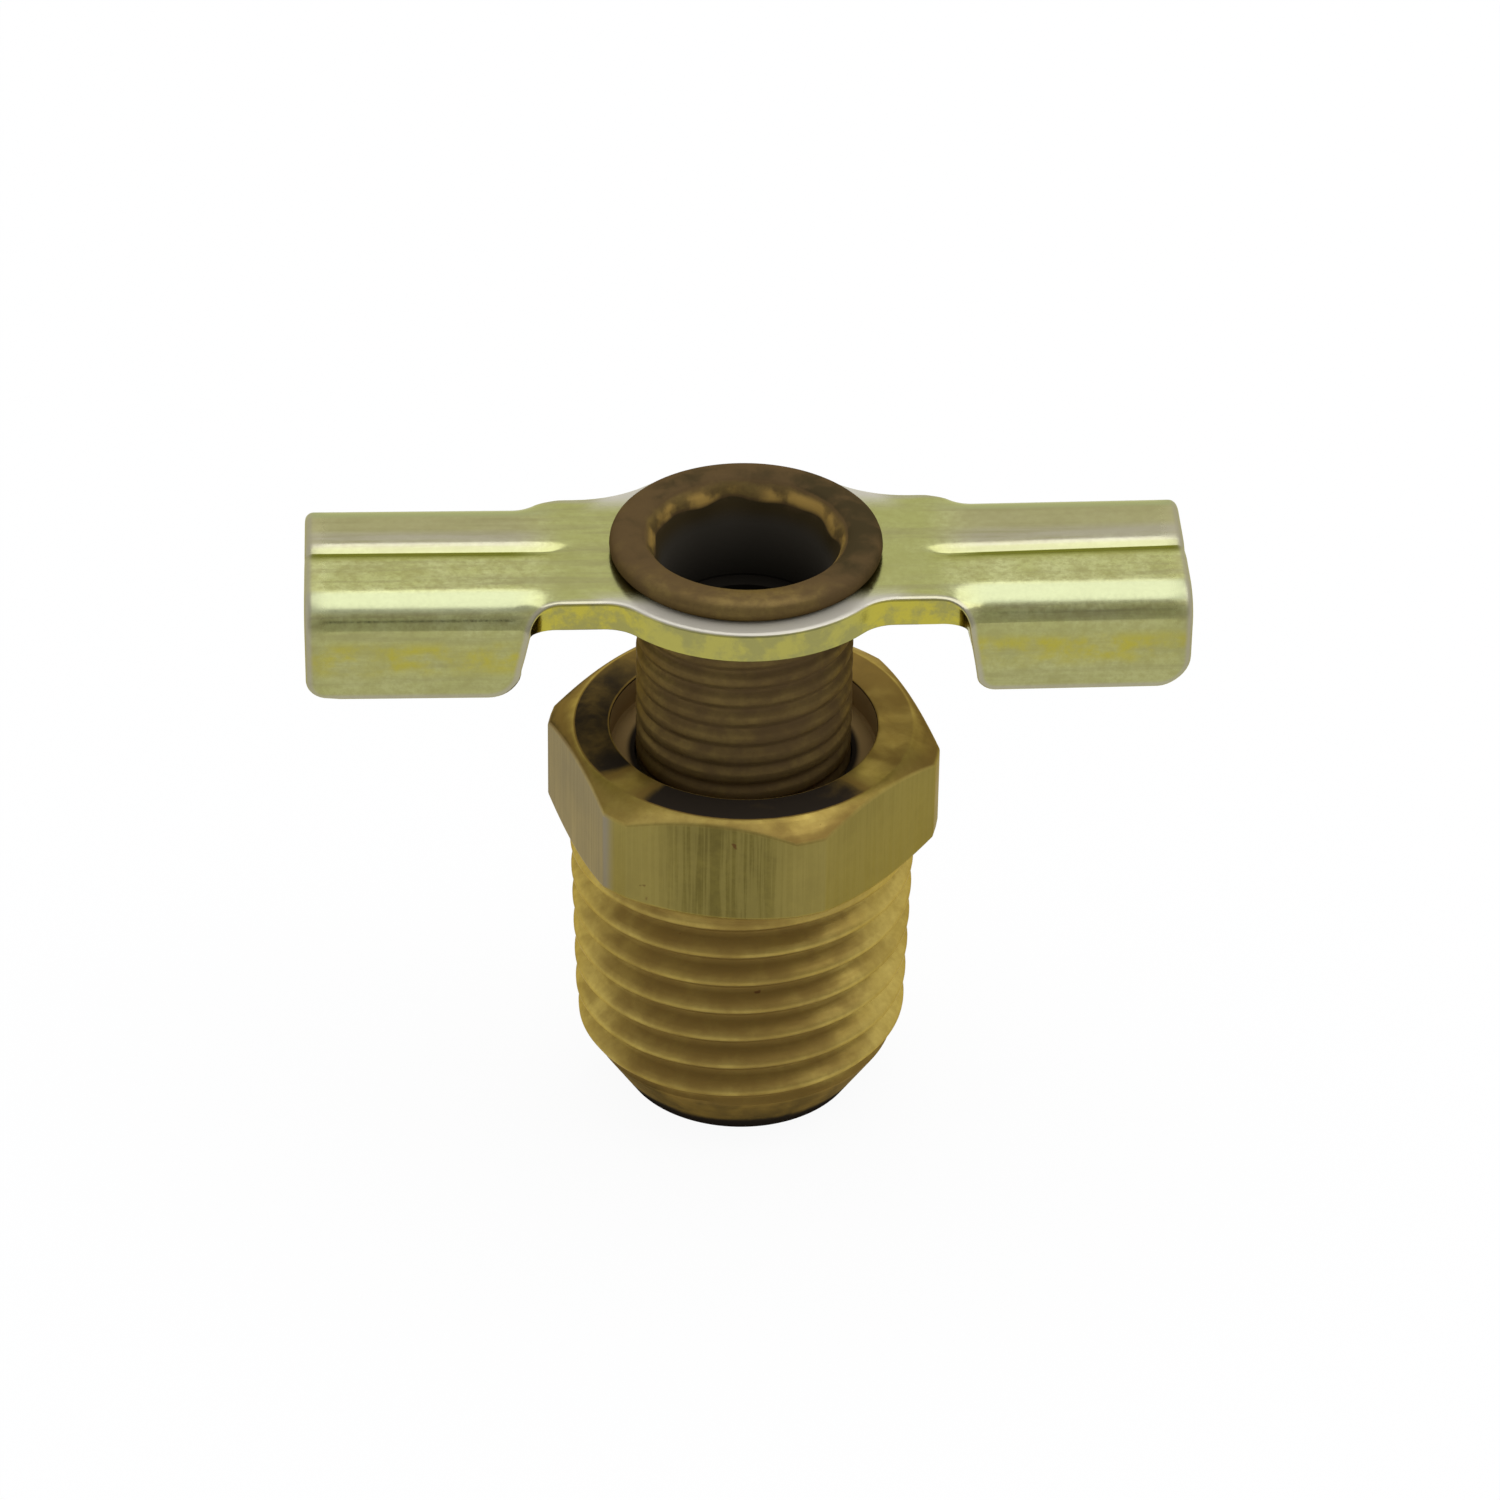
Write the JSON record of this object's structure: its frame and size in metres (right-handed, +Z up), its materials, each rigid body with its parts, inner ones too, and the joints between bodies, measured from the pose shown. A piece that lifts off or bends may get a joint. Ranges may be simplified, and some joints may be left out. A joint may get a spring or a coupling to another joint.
{
  "type": "drain cock",
  "caption": "Brass pipe-thread drain cock: hexagon body, hollow screw stem that lifts off a conical seat, and a pressed steel wing handle held under the stem's rolled rim.",
  "frame": {"origin": "centre of the body's nose, on the face it stands on", "axes": "+Z up the screw's axis towards the handle, +X along the wings of the closed handle, -Y towards the viewer"},
  "size_m": [0.0348, 0.0154, 0.0259],
  "materials": {
    "body_brass": "turned and drawn, slightly dulled",
    "stem_brass": "turned, browned",
    "plated_steel": "zinc plate with a yellow-green passivate"
  },
  "bodies": {
    "valve_body": {"valve_body": "body_brass"},
    "stem": {"stem": "stem_brass"},
    "wing_handle": {"wing_handle": "plated_steel"}
  },
  "joints": [
    {"name": "stem_lift", "type": "slide", "parent": "valve_body", "child": "stem", "axis": [0, 0, 1], "range_m": [0, 0.00205]},
    {"name": "handle_turn", "type": "hinge", "parent": "stem", "child": "wing_handle", "pos_m": [0, 0, 0.0244], "axis": [0, 0, 1], "range_deg": [0, 810]}
  ],
  "couplings": [
    {"joint": "stem_lift", "follows": "handle_turn", "m_per_rad": 0.00014435}
  ]
}
